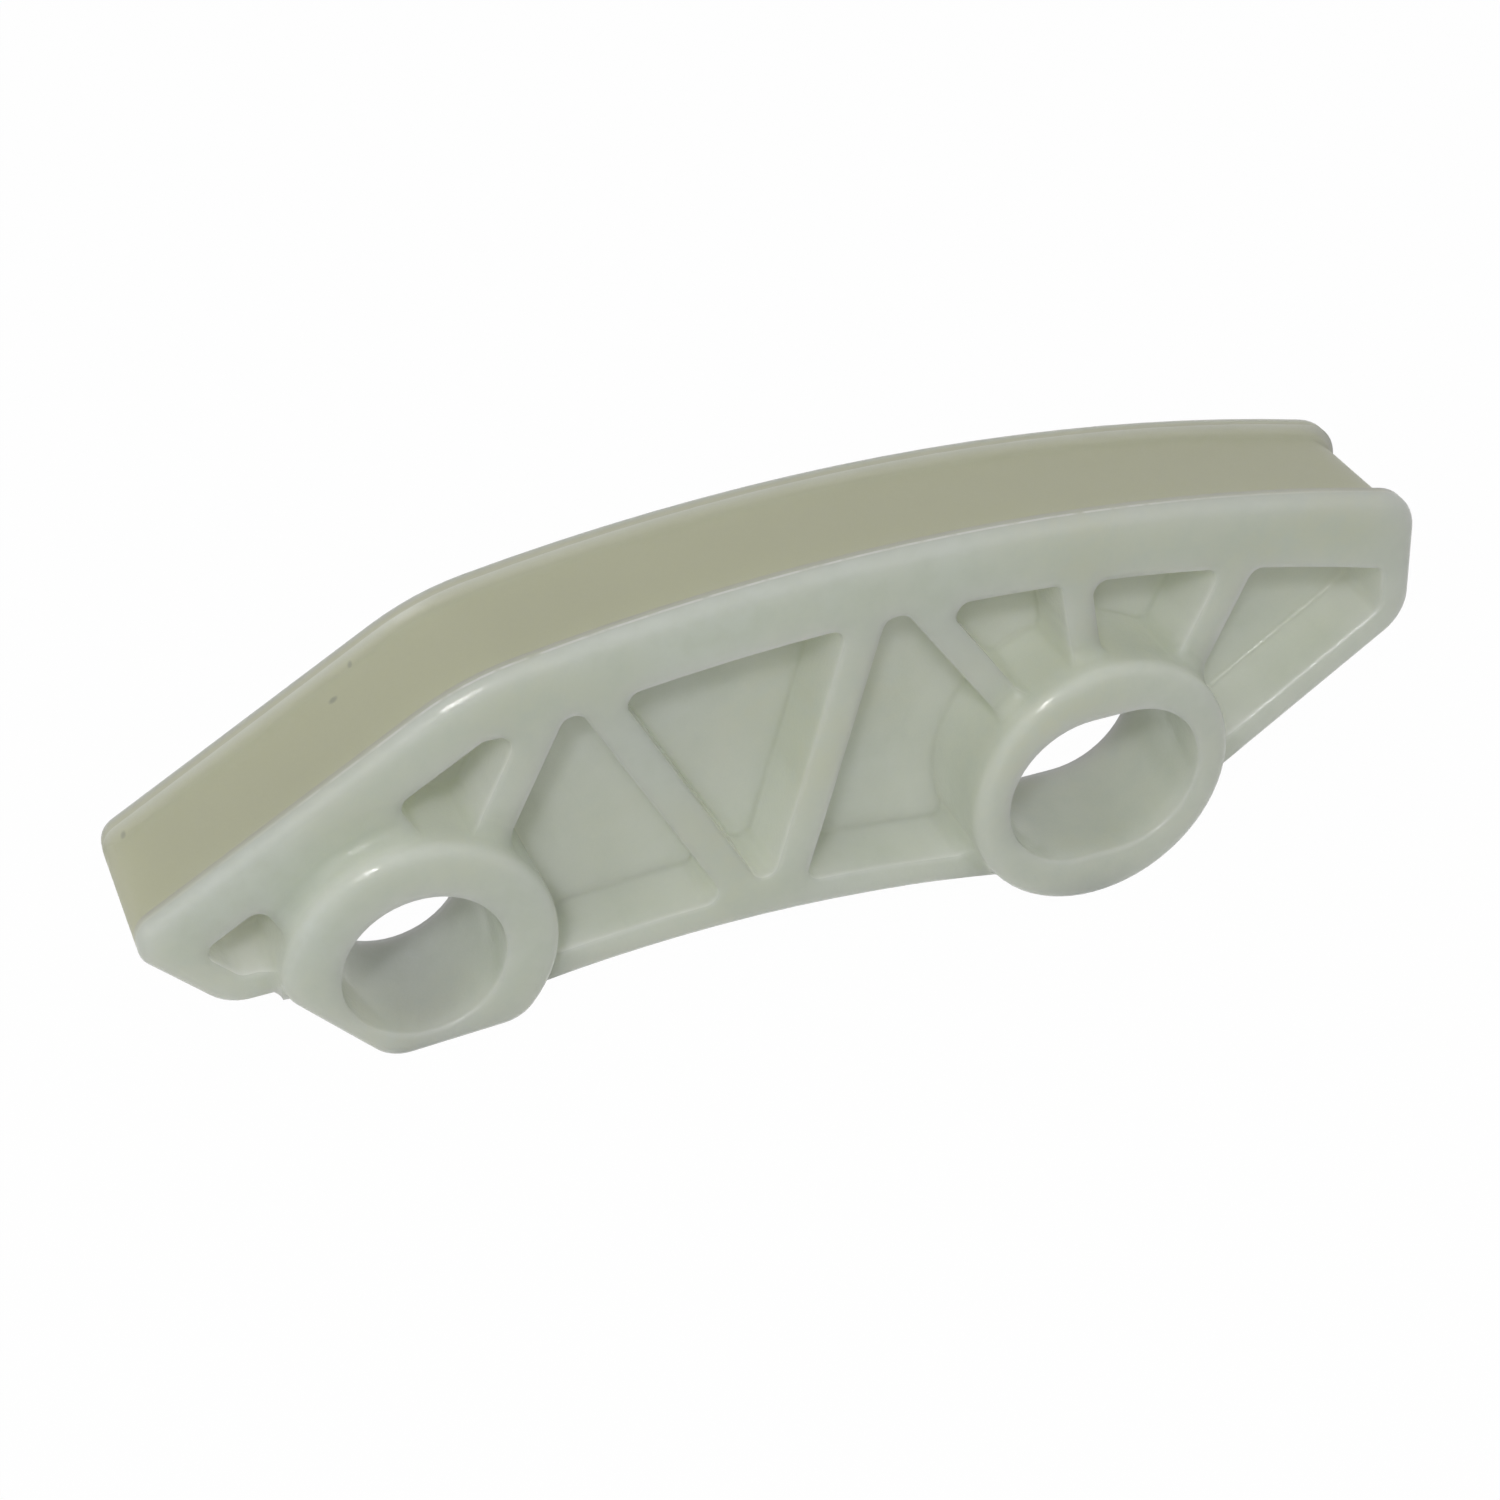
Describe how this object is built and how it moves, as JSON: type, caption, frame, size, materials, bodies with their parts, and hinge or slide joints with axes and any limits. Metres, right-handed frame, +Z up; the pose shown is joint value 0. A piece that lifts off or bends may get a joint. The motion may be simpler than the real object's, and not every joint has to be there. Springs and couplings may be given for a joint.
{
  "type": "balance shaft chain guide",
  "caption": "Moulded plastic guide rail for the chain of a balance shaft, with a curved running track between low lips, ribbed sides, a round locating bore and a slotted bore.",
  "frame": {"origin": "on the axis of the round bore, at the front face of its boss, which is the face that sits against the engine", "axes": "+X along the guide from the low end of its ramp to its nose, -Y along the round bore out of the mounting side, +Z up towards the chain, as the guide stands on its two bosses"},
  "size_m": [0.0929, 0.0151, 0.0311],
  "materials": {
    "natural_polyamide": "uncoloured injection moulded polyamide, milky, with a soft satin surface"
  },
  "bodies": {
    "root": {"chain_guide": "natural_polyamide"}
  },
  "joints": []
}
